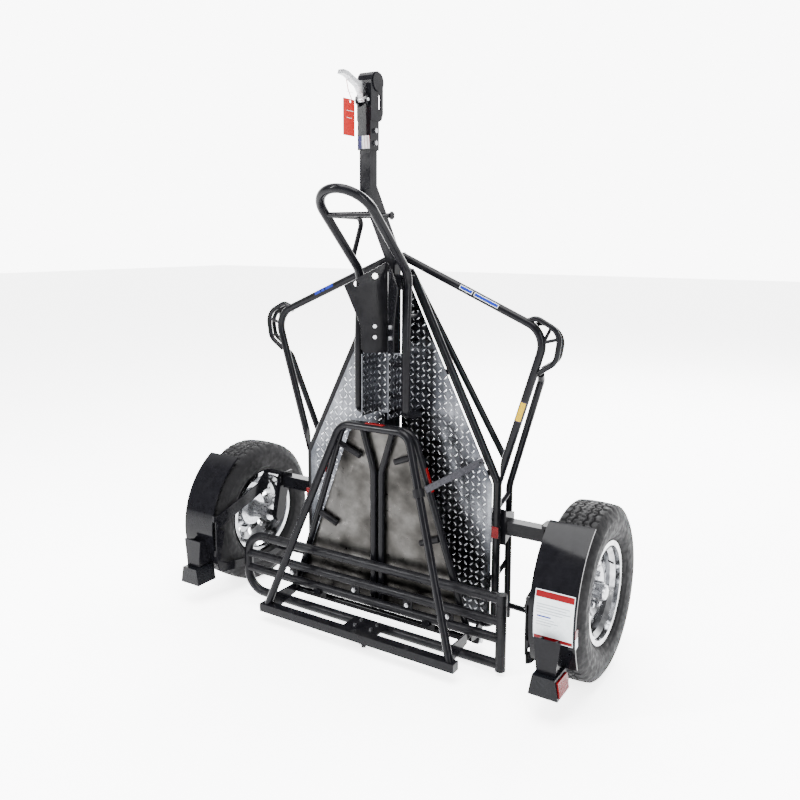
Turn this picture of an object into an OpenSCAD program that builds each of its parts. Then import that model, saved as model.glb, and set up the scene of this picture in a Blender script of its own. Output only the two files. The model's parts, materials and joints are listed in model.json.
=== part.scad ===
// Folding single-motorcycle trailer, standing upright on its tail for storage.
// Frame: +X to the right, -Y is the deck's loading side, +Z up, ground at Z = 0, all in mm.
// The deck stands vertically in the plane Y = 0 of the deck's own coordinates.

/* [Wheels] */
// Outer diameter of the tyres
tyre_d = 610; // [600:2:614]
// Section width of the tyres
tyre_w = 170; // [160:2:174]
// Distance between the two wheel centre planes
track = 1560; // [1540:5:1580]
// Diameter over the rim flanges
rim_d = 360; // [350:2:366]

/* [Deck] */
// Half width of the deck's straight part, to the middle of the edge tube
deck_half = 430; // [420:1:436]
// Diameter of the deck edge tube
edge_d = 32; // [28:1:34]
// Thickness of the tread plate
plate_t = 3; // [2:0.5:4]
// Width of the square spine and tongue tube
spine_w = 45; // [40:1:48]

/* [Tie-down arms] */
// Diameter of the arm tubes
arm_d = 30; // [26:1:32]
// Diameter of the braces behind the arms
brace_d = 25; // [20:1:27]
// Diameter of the strap loop bar
loop_d = 19; // [16:1:22]

/* [Wheel chock] */
// Diameter of the hoop and channel side tubes
hoop_d = 33; // [28:1:34]
// Half spacing of the hoop legs
hoop_half = 105; // [100:1:108]
// Thickness of the flared chock plates
chock_t = 4; // [3:0.5:5]

/* [Tail section] */
// Diameter of the tail frame tube
tail_d = 26; // [22:1:27]
// Diameter of the stand legs
stand_d = 30; // [26:1:32]
// Size of the stand's square foot bar
foot_w = 32; // [28:1:34]
// Diameter of the ramp rails
ramp_d = 36; // [32:1:37]
// Diameter of the caster wheel
caster_d = 40; // [36:1:40]

/* [Fenders] */
// Inner radius of the fenders about the wheel centre
fender_r = 331; // [328:1:334]
// Thickness of the fender sheet
fender_t = 3; // [2:0.5:4]

/* [Hidden] */

$fn = 64;
frame_y = 36;
eps = 0.01;
swell = 0.2;
lap = 1;

wheel_y = 25;
wheel_z = tyre_d / 2;
half_track = track / 2;
edge_y = edge_d / 2;
deck_low = 76;
deck_shoulder = 632;
deck_peak = 1370;
peak_half = 65;
edge_slope = (deck_half - peak_half) / (deck_peak - deck_shoulder);

spine_y = -4.5 - spine_w / 2;
spine_low = 92;
spine_bend = 1445;
tongue_y = -190;
tongue_bend = 1690;
tongue_top = 1900;
coupler_bolt_z = [1842, 1884];
bolt_r = 5;
ball_at = [0, -176, 2050];
ball_r = 25.8;
socket_profile = concat([[0, 0]], [for (a = [15:15:75]) [sin(a), 1 - cos(a)] * ball_r],
    [[ball_r - 0.3, ball_r + 0.5], [0, ball_r + 0.5]]);
pivot = [-228, 1985];
tag_pivot = [-303, 2028];

floor_y = spine_y - spine_w / 2;
channel_half = 60;
channel_front = -148;
channel_low = 850;
channel_top = 1085;
side_tube_y = -100;
hoop_base_z = 1386;
hoop_top = [0, -388, 1678];

apex_y = -61;
post_y = 130;
axle_y = 62;
axle_z = 455;
axle_w = 50;
arm_pivot_x = 612;
torsion_r = 16;
spindle_r = 14;

tail_y = -130;
tail_low = 76;
tail_top = 812;
hinge_y = -58;
hinge_z = 44;
lug_x = [-395, 395];
pin_r = 8;

ramp_y = -165;
ramp_left = -632;
ramp_right = 540;
ramp_rails = [278, 194, 131, 35];
stand_foot = [0, -298, 58];
stand_head = [0, -160, 812];

fender_x = 777;
light_front = -366;
light_back = -266;
fender_w = 157;
fender_low = -25.5;
fender_high = 59;
stay_x = 684;

caster_x = 14;
caster_y = -243;
caster_trail = [16, -24];

steel = [0.04, 0.04, 0.045];
satin = [0.13, 0.13, 0.14];
zinc = [0.75, 0.76, 0.78];
tread = [0.55, 0.56, 0.58];

// ---------- helpers ----------

function unit(v) = v / norm(v);
function on(side, p) = [side[0] * p[0], p[1], p[2]];
function turn(pts, i) = acos(unit(pts[i] - pts[i - 1]) * unit(pts[i + 1] - pts[i]));
function trim(pts, bends, i) =
    i == 0 || i == len(pts) - 1 ? 0 : bends[i - 1] * tan(turn(pts, i) / 2) - lap;

// Everything is drawn in deck coordinates, then moved so that the whole object is centred in Y.
module placed() translate([0, frame_y, 0]) children();

module both_sides() {
    children();
    mirror([1, 0, 0]) children();
}

// Round bar between two points, turned by spin about its own line
module rod(a, b, r, spin = 0) {
    d = b - a;
    translate(a)
        rotate([0, acos(d[2] / norm(d)), atan2(d[1], d[0])])
            rotate([0, 0, spin])
                cylinder(h = norm(d), r = r);
}

// Part of a torus that turns from direction u to direction v round the corner p
module elbow(p, u, v, r, bend) {
    th = acos(u * v);
    c = p + unit(v - u) * bend / cos(th / 2);
    x = unit(p - u * bend * tan(th / 2) - c);
    n = unit(cross(x, u));
    multmatrix([[x[0], u[0], n[0], c[0]], [x[1], u[1], n[1], c[1]], [x[2], u[2], n[2], c[2]]])
        rotate_extrude(angle = th)
            translate([bend, 0])
                circle(r = r + swell);
}

// Tube along straight legs, with a bend radius at each inner point
module bent_tube(pts, bends, r) {
    for (i = [0:len(pts) - 2]) {
        u = unit(pts[i + 1] - pts[i]);
        rod(pts[i] + u * trim(pts, bends, i), pts[i + 1] - u * trim(pts, bends, i + 1), r);
    }
    for (i = [1:len(pts) - 2])
        elbow(pts[i], unit(pts[i] - pts[i - 1]), unit(pts[i + 1] - pts[i]), r, bends[i - 1]);
}

// Side profile in Y and Z, extruded from x0 to x1
module side_profile(pts, x0, x1)
    translate([x0, 0, 0])
        rotate([90, 0, 90])
            linear_extrude(x1 - x0)
                polygon(pts);

// Front profile in X and Z, extruded from y0 to y1
module front_profile(pts, y0, y1)
    translate([0, y1, 0])
        rotate([90, 0, 0])
            linear_extrude(y1 - y0)
                polygon(pts);

// Wheel coordinates: local Z is the wheel axis and points away from the trailer
module at_wheel() translate([half_track, wheel_y, wheel_z]) rotate([0, 90, 0]) children();

module hex_bolt(r, h, shank, shank_h) {
    cylinder(h = h, r = r, $fn = 6);
    translate([0, 0, -shank_h]) cylinder(h = shank_h + eps, r = shank);
}

// ---------- main frame ----------

function tongue_side(s) = [
    [spine_y + s, spine_low],
    [spine_y + s, spine_bend + s * 0.3],
    [tongue_y + s, tongue_bend + s * 0.3],
    [tongue_y + s, tongue_top]];

module spine_tongue() placed() color(steel)
    difference() {
        union() {
            side_profile(concat(tongue_side(spine_w / 2), [for (i = [3:-1:0]) tongue_side(-spine_w / 2)[i]]),
                -spine_w / 2, spine_w / 2);
            translate([-spine_w / 2, spine_y, arm_top - 22]) cube([spine_w, arm_d - spine_y, 34]);
        }
        for (z = coupler_bolt_z)
            translate([-50, tongue_y, z]) rotate([0, 90, 0]) cylinder(h = 100, r = bolt_r + 0.05);
    }

module deck_frame() placed() color(steel) {
    bent_tube([[-peak_half, edge_y, deck_peak], [-deck_half, edge_y, deck_shoulder],
        [-deck_half, edge_y, deck_low], [deck_half, edge_y, deck_low],
        [deck_half, edge_y, deck_shoulder], [peak_half, edge_y, deck_peak]],
        [70, 45, 45, 70], edge_d / 2);
    rod([-peak_half - 8, edge_y, deck_peak - 8], [peak_half + 8, edge_y, deck_peak - 8], edge_d / 2 - 1);
    for (z = [240, 640, 1000])
        translate([-23, -4.5, z]) cube([46, 12, 40]);
    for (z = [260, 660, 1020])
        rod([-edge_at(z), edge_y + 1, z], [edge_at(z), edge_y + 1, z], 11);
    translate([-23, -4.5, deck_low - 12]) cube([46, 8, 60]);
    translate([-23, -4.5, deck_peak - 50]) cube([46, 8, 50]);
}

function edge_at(z) = z < deck_shoulder ? deck_half : deck_half - (z - deck_shoulder) * edge_slope;

module deck_plate() placed() color(tread) {
    inner = channel_half - 34;
    outer = deck_half - 12;
    both_sides()
        front_profile([[inner, 100], [outer, 100], [outer, deck_shoulder - 6],
            [peak_half - 12, deck_peak - 10], [inner, deck_peak - 10]], -plate_t - 0.3, -0.3);
}

module wheel_channel() placed() color(tread) {
    w = channel_half;
    translate([-w, floor_y - plate_t, channel_low]) cube([2 * w, plate_t, channel_top - channel_low]);
    both_sides()
        translate([w - plate_t, channel_front, channel_low])
            cube([plate_t, -plate_t - 0.35 - channel_front, channel_top - channel_low]);
}

module chock_hoop() placed() color(steel) {
    h = hoop_half;
    bent_tube([[-h, -6.5, 850], [-h, side_tube_y, 864], [-h, side_tube_y, 1110],
        [-h, -88, hoop_base_z], [-h, hoop_top[1], hoop_top[2]], [h, hoop_top[1], hoop_top[2]],
        [h, -88, hoop_base_z], [h, side_tube_y, 1110], [h, side_tube_y, 864], [h, -6.5, 850]],
        [28, 400, 90, h - 0.5, h - 0.5, 90, 400, 28], hoop_d / 2);
    rod([-h, -304, 1594], [h, -304, 1594], 9);
    bent_tube([[-h, -296, 1593], [-h, -72, 1589], [-h, -142, 1430]], [26], 9.5);
    for (z = [930, 1050])
        rod([-h, side_tube_y, z], [-channel_half - 1, side_tube_y, z], 8);
    for (z = [930, 1050])
        rod([h, side_tube_y, z], [channel_half + 1, side_tube_y, z], 8);
    both_sides() rod([h, side_tube_y + 6, 1230], [h, -plate_t - 0.4, 1230], 10);
}

// One flared plate, drawn flat in its own plane and then turned 45 degrees about the apex line
module chock_plate()
    translate([0, apex_y, 0])
        rotate([0, 0, -45])
            difference() {
                front_profile([[6, 1425], [166, 1340], [114, 1216], [103, 1184], [103, 1104],
                    [90, 1085.1], [6, 1085.1]], -chock_t / 2, chock_t / 2);
                for (p = [[118, 1346], [49, 1374]])
                    translate([p[0], 10, p[1]]) rotate([90, 0, 0]) cylinder(h = 20, r = 11);
                for (z = [1146, 1187])
                    translate([51, 10, z]) rotate([90, 0, 0]) cylinder(h = 20, r = 5);
            }

module chock_plate_right() placed() color(steel) chock_plate();

module chock_plate_left() placed() color(steel) mirror([1, 0, 0]) chock_plate();

// Two ears behind the flared plates, welded to the spine
module chock_bracket() placed() color(steel)
    both_sides()
        difference() {
            translate([0, apex_y, 0])
                rotate([0, 0, -45])
                    difference() {
                        translate([4, chock_t / 2 + 0.05, 1128]) cube([66, 4, 78]);
                        for (z = [1146, 1187])
                            translate([51, 20, z]) rotate([90, 0, 0]) cylinder(h = 30, r = 5);
                    }
            translate([-10, -49.45, 1100]) cube([80, 60, 140]);
            translate([-30, -200, 1100]) cube([30.2, 300, 140]);
        }

module chock_bolts() placed() color(zinc)
    both_sides()
        translate([0, apex_y, 0])
            rotate([0, 0, -45])
                for (z = [1146, 1187])
                    translate([51, -chock_t / 2 - 0.05, z])
                        rotate([90, 0, 0])
                            hex_bolt(8, 6, 4.95, 14);

// ---------- tie-down arms ----------

arm_corner = [604, 1192];
arm_top = 1449;

module strap_loop() {
    r = loop_d / 2;
    bent_tube([[520, 13, 1226], [566, 13, 1243], [655, 13, 1196], [640, 13, 1092],
        [578, 13, 1050]], [40, 62, 52, 50], r);
    bent_tube([[540, 40, 1212], [578, 42, 1225], [656, 42, 1190], [641, 42, 1100],
        [583, 36, 1062]], [36, 58, 50, 42], r - 1);
    rod([592, 14, 1158], [646, 14, 1173], 6);
    rod([592, 16, 1158], [610, 41, 1212], 6);
    rod([636, 14, 1100], [636, 41, 1104], 6);
}

// The arm's two cut ends stand against the spine's side and the edge tube's outer side
module tie_down_arm()
    difference() {
        union() {
            bent_tube([[12, arm_d / 2, arm_top], [arm_corner[0], arm_d / 2, arm_corner[1]],
                [428, arm_d / 2, 614]], [85], arm_d / 2);
            strap_loop();
        }
        translate([deck_half - 100, -50, 560]) cube([100 + edge_d / 2 + 0.25, 150, 160]);
        translate([-20, -50, arm_top - 60]) cube([20 + spine_w / 2 + 0.05, 120, 120]);
    }

module tie_down_arm_right() placed() color(steel) tie_down_arm();

module tie_down_arm_left() placed() color(steel) mirror([1, 0, 0]) tie_down_arm();

// Lower chord behind the deck: post, inclined tube up to the arm, and the long thin brace
module rear_truss()
    union() {
        bent_tube([[deck_half, post_y, 66], [deck_half, post_y - 8, 590], [570, 60, 1016],
            [579, 32.5, 1044]], [120, 40], 13);
        rod([34, 48, 1394], [431, 92, 690], brace_d / 2);
        rod([deck_half, 37, 536], [deck_half, post_y - 6, 566], 9);
        rod([deck_half, 34, 110], [deck_half, post_y - 6, 110], 9);
        rod([330, 34, 110], [deck_half, post_y - 4, 300], 9);
        rod([30, 48, 1394], [30, 20, 1394], 10);
    }

module rear_truss_right() placed() color(steel) rear_truss();

module rear_truss_left() placed() color(steel) mirror([1, 0, 0]) rear_truss();

module axle_beam() placed() color(steel)
    difference() {
        translate([-arm_pivot_x + 14, axle_y - axle_w / 2, axle_z - axle_w / 2])
            cube([2 * arm_pivot_x - 28, axle_w, axle_w]);
        both_sides()
            translate([arm_pivot_x - 74, axle_y, axle_z])
                rotate([0, 90, 0]) cylinder(h = 80, r = torsion_r + 0.05);
    }

module axle_brackets() placed() color(steel)
    both_sides() {
        difference() {
            side_profile([[34, 396], [108, 430], [108, 500], [34, 520]], 452, 460);
            translate([440, axle_y - axle_w / 2 - 0.05, axle_z - axle_w / 2 - 0.05])
                cube([40, axle_w + 0.1, axle_w + 0.1]);
        }
        difference() {
            side_profile([[34, 396], [108, 430], [108, 500], [34, 520]], 400, 408);
            translate([390, axle_y - axle_w / 2 - 0.05, axle_z - axle_w / 2 - 0.05])
                cube([40, axle_w + 0.1, axle_w + 0.1]);
        }
        translate([400, 32.1, 390]) cube([60, 2, 136]);
    }

// ---------- tail hinge ----------

module hinge_lugs() placed() color(steel)
    for (x = lug_x)
        difference() {
            side_profile([[hinge_y - 15, hinge_z - 12], [hinge_y + 12, hinge_z - 14], [-0.3, 64],
                [-0.3, 99], [-26, 99], [hinge_y - 15, hinge_z + 16]], x - 14, x - 4);
            translate([x - 20, hinge_y, hinge_z]) rotate([0, 90, 0]) cylinder(h = 30, r = pin_r + 0.02);
        }

module hinge_pins() placed() color(zinc)
    for (x = lug_x)
        translate([x - 18, hinge_y, hinge_z])
            rotate([0, 90, 0]) {
                cylinder(h = 36, r = pin_r);
                translate([0, 0, -6]) cylinder(h = 6 + eps, r = 12, $fn = 6);
                translate([0, 0, 34]) cylinder(h = 6, r = 12, $fn = 6);
            }

module chain_anchor() placed() color(steel)
    difference() {
        union() {
            translate([-72, -146, 1593]) rotate([0, 90, 0]) cylinder(h = 144, r = 9);
            for (x = [-74, 66])
                translate([x, -146, 1593]) rotate([0, 90, 0]) cylinder(h = 8, r = 15, $fn = 6);
        }
        translate([-spine_w / 2 - 0.05, -200, 1550]) cube([spine_w + 0.1, 120, 90]);
    }

module deck_reflectors() placed() color([0.75, 0.05, 0.08])
    both_sides()
        translate([deck_half - 11.5, -2.6, 424]) cube([27, 2.55, 42]);

// ---------- fenders and lights ----------

module arc_band(r0, r1, a0, a1, w)
    rotate([0, 0, a0])
        rotate_extrude(angle = a1 - a0)
            translate([r0, -w / 2])
                square([r1 - r0, w]);

// Angles are measured from -Y towards +Z about the wheel axis
module at_fender(x)
    translate([x, wheel_y, wheel_z])
        rotate([0, 90, 0])
            rotate([0, 0, -90])
                mirror([0, 1, 0])
                    children();

module fender() {
    r = fender_r;
    t = fender_t;
    at_fender(fender_x) {
        arc_band(r, r + t, fender_low, fender_high, fender_w);
        for (s = [-1, 1])
            translate([0, 0, s * (fender_w - t) / 2])
                arc_band(r - 4, r + t, fender_low, fender_high, t);
    }
}

module fender_right() placed() color(steel) fender();

module fender_left() placed() color(steel) mirror([1, 0, 0]) fender();

// Plates from the axle end and the rear post to the fender's inner lip
module fender_stay() {
    gap = fender_x - fender_w / 2 - stay_x - 0.05;
    side_profile([[-299, 372], [-300, 318], [20, 418], [30, 440], [30, 500], [8, 500], [-40, 452]],
        stay_x, stay_x + 5);
    side_profile([[-299, 330], [-300, 250], [-296, 176], [-282, 172], [-252, 300]], stay_x, stay_x + 5);
    side_profile([[-292, 190], [-286, 140], [-250, 126], [30, 86], [117, 100], [117, 128],
        [30, 118], [-236, 160]], stay_x, stay_x + 5);
    translate([stay_x + 5.02, -300.5, 203]) cube([gap - 5.02, 8.5, 26]);
    translate([stay_x + 5.02, -305, 353]) cube([gap - 5.02, 8, 26]);
    difference() {
        translate([598.1, 36, 428]) cube([8, 52, 70]);
        translate([590, axle_y, axle_z]) rotate([0, 90, 0]) cylinder(h = 20, r = torsion_r + 0.05);
    }
    translate([606, 22, 486]) cube([stay_x - 605, 22, 12]);
    rod([deck_half + 13.2, post_y, 112], [stay_x + 1, post_y - 18, 112], 11);
    translate([stay_x, -286, 338]) rotate([0, -90, 0]) cylinder(h = 6, r = 11, $fn = 6);
}

module fender_stay_right() placed() color(steel) fender_stay();

module fender_stay_left() placed() color(steel) mirror([1, 0, 0]) fender_stay();

module light_bracket()
    difference() {
        union() {
            front_profile([[745, 158], [809, 158], [822, 272], [732, 272]], -345, -339);
            for (x = [747, 801])
                side_profile([[-342, 158], [-262, 158], [-262, 250], [-342, 272]], x, x + 6);
        }
        translate([700, wheel_y, wheel_z]) rotate([0, 90, 0])
            cylinder(h = 160, r = fender_r + fender_t + 0.1, $fn = 128);
    }

module light_bracket_right() placed() color(steel) light_bracket();

module light_bracket_left() placed() color(steel) mirror([1, 0, 0]) light_bracket();

module light_box()
    difference() {
        translate([fender_x, 0, 0]) {
            front_profile([[-50, 90], [50, 90], [38, 157.9], [-38, 157.9]], light_front, light_back);
        }
        translate([fender_x - 44, light_front + 6, 88]) cube([88, light_back - light_front - 12, 6.05]);
    }

module light_box_right() placed() color([0.1, 0.1, 0.11]) light_box();

module light_box_left() placed() color([0.1, 0.1, 0.11]) mirror([1, 0, 0]) light_box();

module light_lens() {
    translate([fender_x - 43.8, light_front + 6.2, 87]) cube([87.6, light_back - light_front - 12.4, 7]);
    translate([fender_x + 40, 0, 0])
        front_profile([[9, 98], [14, 98], [6, 148], [0.3, 148]], light_front + 10, light_back - 8);
}

module light_lens_right() placed() color([0.8, 0.03, 0.05]) light_lens();

module light_lens_left() placed() color([0.8, 0.03, 0.05]) mirror([1, 0, 0]) light_lens();

// ---------- coupler ----------

hood = [[-217, 1917], [-217, 2052], [-209, 2070], [-196, 2082], [-176, 2086], [-156, 2080],
    [-145, 2066], [-141, 2048], [-141, 1946], [-150, 1924], [-163, 1917]];
hood_inside = [[-212, 1936], [-212, 2016], [-120, 2016], [-120, 1950], [-150, 1936]];

module coupler_body() placed() color(steel)
    difference() {
        union() {
            translate([-27, tongue_y - 27, 1818]) cube([54, 54, 100]);
            side_profile(hood, -30, 30);
            translate(ball_at + [-34, 0, 0]) rotate([0, 90, 0]) cylinder(h = 68, r = 32.5);
            for (x = [-23, 15])
                side_profile([[-216, 1964], [-236, 1974], [-239, 1985], [-236, 1996], [-216, 2006]], x, x + 8);
        }
        translate([-spine_w / 2 - 0.05, tongue_y - spine_w / 2 - 0.05, 1810])
            cube([spine_w + 0.1, spine_w + 0.1, 90.1]);
        side_profile(hood_inside, -24, 24);
        side_profile([[-170, 1962], [-167, 1956], [-159, 1956], [-156, 1962], [-156, 2002],
            [-159, 2008], [-167, 2008], [-170, 2002]], -50, 50);
        translate(ball_at) rotate([-90, 0, 0]) cylinder(h = 80, r = ball_r);
        translate(ball_at) translate([0, -ball_r, 0]) rotate([-90, 0, 0])
            rotate_extrude() polygon(socket_profile);
        translate([-50, pivot[0], pivot[1]]) rotate([0, 90, 0]) cylinder(h = 100, r = 5.05);
        for (z = coupler_bolt_z)
            translate([-50, tongue_y, z]) rotate([0, 90, 0]) cylinder(h = 100, r = bolt_r + 0.05);
    }

module coupler_bolts() placed() color(zinc)
    for (z = coupler_bolt_z)
        translate([-27.3, tongue_y, z])
            rotate([0, 90, 0]) {
                cylinder(h = 54.6, r = bolt_r);
                translate([0, 0, -6]) cylinder(h = 6.01, r = 9, $fn = 6);
                translate([0, 0, 54.6]) cylinder(h = 8, r = 9, $fn = 6);
            }

module coupler_clamp() placed() color(zinc)
    side_profile([[-208, 1962], [-208, 2009], [-186, 2009], [-178, 2004], [-172, 1990], [-172, 1962]],
        -20, 20);

module latch_lever() placed() color(zinc)
    difference() {
        union() {
            translate([-14.6, pivot[0], pivot[1]]) rotate([0, 90, 0]) cylinder(h = 29.2, r = 9);
            translate([-27, pivot[0], pivot[1]]) rotate([0, 90, 0]) cylinder(h = 54, r = 5);
            side_profile([[-235, 1980], [-222, 1989], [-219.5, 2038], [-230, 2046], [-262, 2043],
                [-322, 2064], [-350, 2066], [-356, 2052], [-325, 2050], [-262, 2025], [-240, 2000]],
                -11, 11);
        }
        translate([-13, tag_pivot[0], tag_pivot[1] + 22]) rotate([0, 90, 0]) cylinder(h = 26, r = 3);
    }

// Paper tag on a bent wire that hangs beside the lever
module hang_tag() placed() color([0.95, 0.35, 0.32]) {
    bent_tube([[-12, -300, 2052], [-16, -300, 2052], [-16, -288, 2012], [-16, -266, 1980],
        [-16, -266, 1966]], [2.5, 14, 8], 1.3);
    difference() {
        translate([-16.5, -317, 1860]) cube([1, 66, 122]);
        translate([-20, -276, 1974]) rotate([0, 90, 0]) cylinder(h = 10, r = 4);
    }
}

// ---------- running gear ----------

module torsion_arm()
    difference() {
        union() {
            translate([616, axle_y, axle_z]) rotate([0, 90, 0]) cylinder(h = 24, r = 30);
            translate([616, wheel_y, wheel_z]) rotate([0, 90, 0]) cylinder(h = 24, r = 26);
            side_profile([[axle_y - 29, axle_z - 4], [axle_y + 29, axle_z - 12],
                [wheel_y + 25, wheel_z + 6], [wheel_y - 25, wheel_z + 10]], 616, 640);
            translate([639, wheel_y, wheel_z]) rotate([0, 90, 0]) cylinder(h = 175, r = spindle_r);
            translate([542, axle_y, axle_z]) rotate([0, 90, 0]) cylinder(h = 75, r = torsion_r);
        }
        translate([800, wheel_y, wheel_z]) rotate([0, 90, 0]) cylinder(h = 30, r = 3);
    }

module torsion_arm_right() placed() color(steel) torsion_arm();

module torsion_arm_left() placed() color(steel) mirror([1, 0, 0]) torsion_arm();

bead_r = rim_d / 2 - 13.9;
tyre_half = [[59.4, bead_r], [59.4, rim_d / 2 + 3], [67, 190], [77, 208], [84, 232], [85, 246],
    [82, 266], [76, 284], [68, 295], [58, 299.5]];
tread_half = [[52, 300.6], [52, 293], [46, 293], [46, 301.8], [22, 303.8], [22, 296], [16, 296],
    [16, 304.4]];
inner_half = [[0, 286], [56, 281], [66, 270], [71, 246], [69, 226], [60, 200], [48, 186],
    [48, bead_r]];

// Profile points are half width and radius; those above the bead follow the tyre's own size
function tyre_point(p, side) = [p[1] > 200 ? p[1] * tyre_d / 610 : p[1],
    side * (p[0] > 60 ? p[0] * tyre_w / 170 : p[0])];
function tyre_profile() = let(outer = concat(tyre_half, tread_half))
    concat([for (p = concat(outer, [[0, 305]])) tyre_point(p, 1)],
        [for (i = [len(outer) - 1:-1:0]) tyre_point(outer[i], -1)],
        [for (i = [len(inner_half) - 1:-1:1]) tyre_point(inner_half[i], -1)],
        [for (p = inner_half) tyre_point(p, 1)]);

module tyre() at_wheel() rotate_extrude() polygon(tyre_profile());

module tyre_right() placed() color([0.03, 0.03, 0.03]) tyre();

module tyre_left() placed() color([0.03, 0.03, 0.03]) mirror([1, 0, 0]) tyre();

// Pressed steel disc and barrel in one profile, with slots cut through the dish
module rim() {
    f = rim_d / 2;
    at_wheel()
        difference() {
            rotate_extrude()
                polygon([[f, 65], [f, 61], [f - 14, 59.9], [f - 15, 44], [f - 27, 30], [f - 27, -30],
                    [f - 15, -44], [f - 14, -59.9], [f, -61], [f, -65], [f - 17, -64],
                    [f - 19, -46], [f - 31, -32], [f - 31, -6], [f - 40, 4], [112, 22], [90, 22],
                    [73, 8], [27.1, 8], [27.1, 14], [71, 14], [88, 28], [113, 28], [f - 36, 10],
                    [f - 31, 4], [f - 31, 31], [f - 19, 47], [f - 17, 64]]);
            for (a = [0:36:359])
                rotate([0, 0, a])
                    translate([0, 0, -10])
                        linear_extrude(60) {
                            translate([106, -9]) square([14, 18]);
                            translate([106, 0]) circle(r = 9);
                            translate([120, 0]) circle(r = 9);
                        }
            for (a = [0:72:359])
                rotate([0, 0, a + 18]) translate([57.15, 0, 0]) cylinder(h = 30, r = 7);
        }
}

module rim_right() placed() color([0.85, 0.86, 0.88]) rim();

module rim_left() placed() color([0.85, 0.86, 0.88]) mirror([1, 0, 0]) rim();

module hub() at_wheel()
    difference() {
        union() {
            rotate_extrude()
                polygon([[0, -112], [34, -112], [34, -30], [40, -4], [72, -4], [72, 7.8],
                    [27, 7.8], [27, 60], [24, 66], [16, 69], [0, 70]]);
            for (a = [0:72:359])
                rotate([0, 0, a + 18]) translate([57.15, 0, 7]) cylinder(h = 30, r = 6);
        }
        translate([0, 0, -113]) cylinder(h = 150, r = spindle_r + 0.05);
    }

module hub_right() placed() color(zinc) hub();

module hub_left() placed() color(zinc) mirror([1, 0, 0]) hub();

module lug_nuts() at_wheel()
    for (a = [0:72:359])
        rotate([0, 0, a + 18])
            translate([57.15, 0, 14.05])
                difference() {
                    union() {
                        cylinder(h = 20, r = 11, $fn = 6);
                        cylinder(h = 25, r = 8.5);
                    }
                    translate([0, 0, -1]) cylinder(h = 24.2, r = 6.02);
                }

module lug_nuts_right() placed() color(zinc) lug_nuts();

module lug_nuts_left() placed() color(zinc) mirror([1, 0, 0]) lug_nuts();

// ---------- tail section, folded up in front of the deck ----------

function tail_half(z) = 156 + (tail_top - z) * 0.336;

module tail_frame() placed() color(steel) {
    r = tail_d / 2;
    bent_tube([[-tail_half(tail_low), tail_y, tail_low], [-tail_half(tail_top), tail_y, tail_top],
        [tail_half(tail_top), tail_y, tail_top], [tail_half(tail_low), tail_y, tail_low],
        [-tail_half(tail_low) + 1, tail_y, tail_low]], [70, 70, 22], r);
    for (x = lug_x)
        difference() {
            side_profile([[hinge_y - 14, hinge_z + 14], [hinge_y - 14, hinge_z - 12],
                [hinge_y + 12, hinge_z - 12], [hinge_y + 14, hinge_z + 8], [hinge_y - 20, 84],
                [tail_y + 4, 86], [tail_y + 4, 66]], x - 3.4, x + 12);
            translate([x - 20, hinge_y, hinge_z]) rotate([0, 90, 0]) cylinder(h = 40, r = pin_r + 0.05);
        }
}

module tail_plate() placed() color([0.62, 0.61, 0.58]) {
    low = 96;
    high = tail_top - 6;
    y0 = tail_y + tail_d / 2 + 0.4;
    front_profile([[-tail_half(low), low], [tail_half(low), low], [tail_half(high) - 20, high - 30],
        [tail_half(high) - 60, high], [60 - tail_half(high), high], [20 - tail_half(high), high - 30]],
        y0, y0 + plate_t);
}

// Pair of tubes up the middle that part into a Y under the top bar
module tail_keel() placed() color(steel)
    both_sides()
        difference() {
            bent_tube([[17.5, tail_y, 90], [17.5, tail_y, 640], [72, tail_y, 812]], [160], 12.5);
            translate([-200, tail_y, tail_top])
                rotate([0, 90, 0])
                    cylinder(h = 400, r = tail_d / 2 + 0.05);
            translate([-200, tail_y - 20, tail_top]) cube([400, 40, 40]);
        }

function peg_dir(x) = [-sign(x) * 0.93, 0, -0.37];

module ramp_pegs() placed() color(steel)
    for (s = [-1, 1])
        for (z = [728, 431]) {
            root = [s * (tail_half(z) - 13.4), tail_y, z - 4];
            rod(root, root + peg_dir(s) * (z > 600 ? 98 : 84), 12);
        }

module stand_hoop() placed() color(steel) {
    foot_x = 414;
    right = [1, 1, 1];
    left = [-1, 1, 1];
    low = [foot_x, stand_foot[1] - 3, stand_foot[2]] + leg_dir * 8;
    corner = [152, stand_head[1], stand_head[2]];
    short = trim([low, corner, [0, corner[1], corner[2]]], [62], 1);
    for (side = [right, left]) {
        rod(on(side, low), on(side, corner - leg_dir * short), stand_d / 2, 40);
        elbow(on(side, corner), on(side, leg_dir), [-side[0], 0, 0], stand_d / 2, 62);
    }
    rod(on(left, corner) + [short, 0, 0], corner - [short, 0, 0], stand_d / 2);
    translate([-foot_x - 22, stand_foot[1] - 22, stand_foot[2] - foot_w / 2])
        cube([2 * foot_x + 44, 38, foot_w]);
}

module stand_gussets() placed() color(steel)
    both_sides() {
        side_profile([[-281.9, 44], [-281.9, 76], [-262, 107], [-143.4, 107], [-143.4, 66], [-190, 58],
            [-240, 44]], 394, 399);
        side_profile([[-146.9, 78], [-146.9, 110], [-190, 110], [-190, 128], [-186.5, 128],
            [-186.5, 113.4], [-143.3, 113.4], [-143.3, 78]], 235, 265);
    }

module tail_reflectors() placed() color([0.75, 0.05, 0.08]) {
    translate([-32, stand_head[1] - 8, tail_top + stand_d / 2 + 0.05]) cube([80, 16, 3]);
    both_sides()
        translate([tail_half(600) + tail_d / 2 + 1, tail_y - 7, 600]) rotate([0, -18.6, 0]) cube([2.5, 14, 90]);
}

// ---------- caster ----------

module caster_bracket() placed() color(steel)
    difference() {
        translate([-60, -281.9, 62]) cube([150, 98, 5]);
        for (x = [-36.5, 36.5])
            for (y = [-22, 22])
                translate([caster_x + x, -228 + y, 60]) cylinder(h = 10, r = 4.5);
    }

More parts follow.
